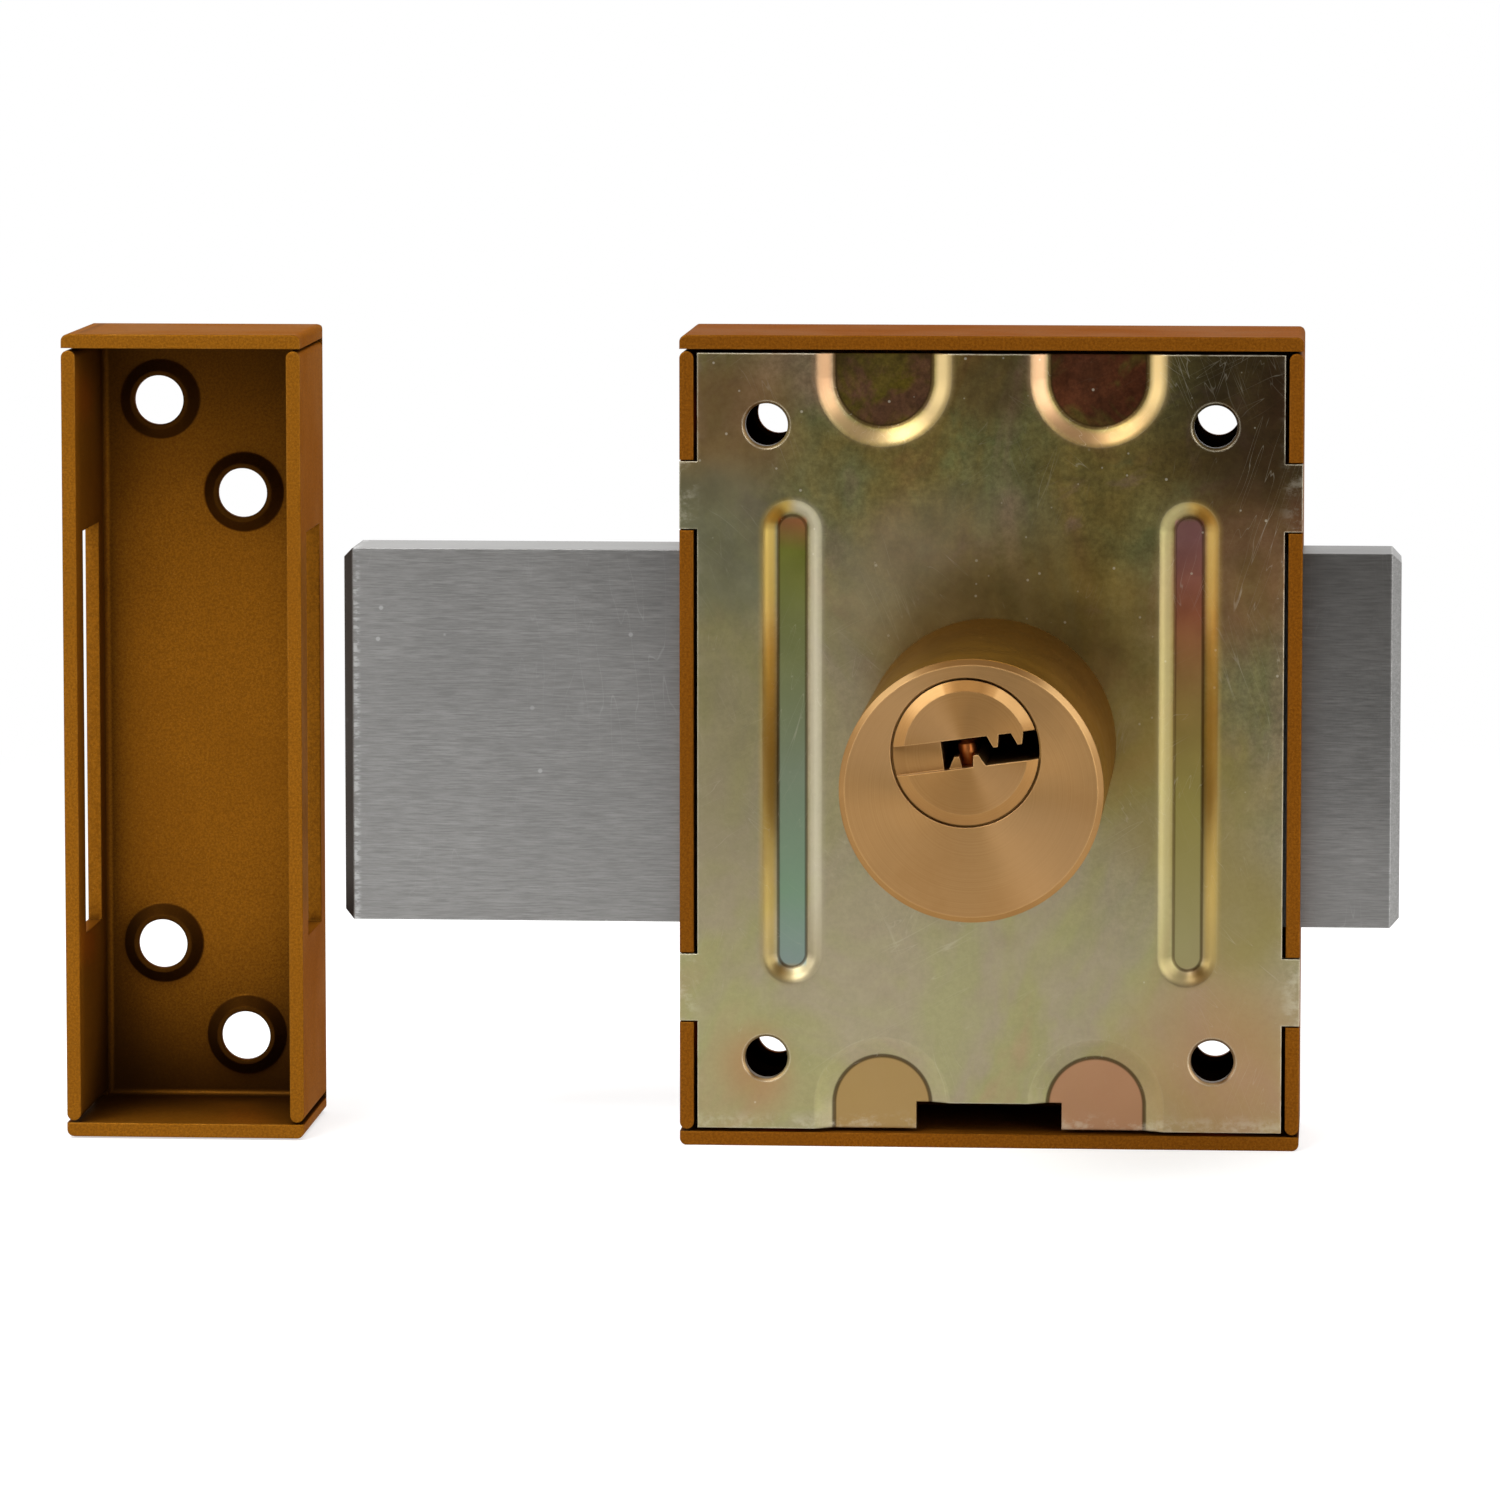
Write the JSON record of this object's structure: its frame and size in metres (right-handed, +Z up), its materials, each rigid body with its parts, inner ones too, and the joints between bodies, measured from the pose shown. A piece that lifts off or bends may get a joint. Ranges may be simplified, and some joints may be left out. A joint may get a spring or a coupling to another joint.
{
  "type": "rim box lock",
  "caption": "Rim box lock: folded steel case with a through bolt geared to a long key cylinder and a thumb turn, with its folded steel keep.",
  "frame": {"origin": "centre of the four fixing holes, on the back plate's door face", "axes": "+X along the bolt away from the keep, -Y out of the door face along the key cylinder, +Z up"},
  "size_m": [0.1727, 0.1032, 0.105],
  "materials": {
    "paint": "gold-brown stove enamel with a fine speckle",
    "chromate": "yellow chromate zinc with an iridescent olive, green and pink bloom",
    "steel": "drawn steel, brushed along its length",
    "plated_steel": "bright zinc plate",
    "brass": "fine turned and satin brass",
    "copper_brass": "turned red brass"
  },
  "bodies": {
    "case": {"case_shell": "paint", "back_plate": "chromate", "bolt_guide_upper": "steel", "bolt_guide_lower": "steel", "guide_rivets": "paint", "bearing_bridge": "steel", "bridge_screws": "plated_steel", "front_bush": "brass", "bush_nut": "plated_steel", "cylinder_body": "brass", "driver_pins": "brass", "pin_springs": "steel", "chamber_caps": "brass", "cylinder_screws": "plated_steel", "keep_box": "paint"},
    "sliding_bolt": {"bolt": "steel"},
    "spindle": {"drive_pinion": "plated_steel", "thumb_turn": "brass", "turn_grub_screw": "steel", "turn_washer": "plated_steel"},
    "plug": {"cylinder_plug": "brass", "key_pins": "copper_brass", "plug_circlip": "steel", "tail_bar": "steel", "tail_pin": "steel"}
  },
  "joints": [
    {"name": "bolt_slide", "type": "slide", "parent": "case", "child": "sliding_bolt", "axis": [1, 0, 0], "range_m": [0, 0.0314]},
    {"name": "thumb_turn_spin", "type": "hinge", "parent": "case", "child": "spindle", "pos_m": [-0.00063, 0.03, 0.00476], "axis": [0, -1, 0], "range_deg": [0, 360]},
    {"name": "key_turn", "type": "hinge", "parent": "case", "child": "plug", "pos_m": [-0.00063, -0.0546, 0.00476], "axis": [0, -1, 0], "range_deg": [0, 360]}
  ],
  "couplings": [
    {"joint": "thumb_turn_spin", "follows": "bolt_slide", "rad_per_m": 200.1},
    {"joint": "key_turn", "follows": "bolt_slide", "rad_per_m": 200.1}
  ]
}
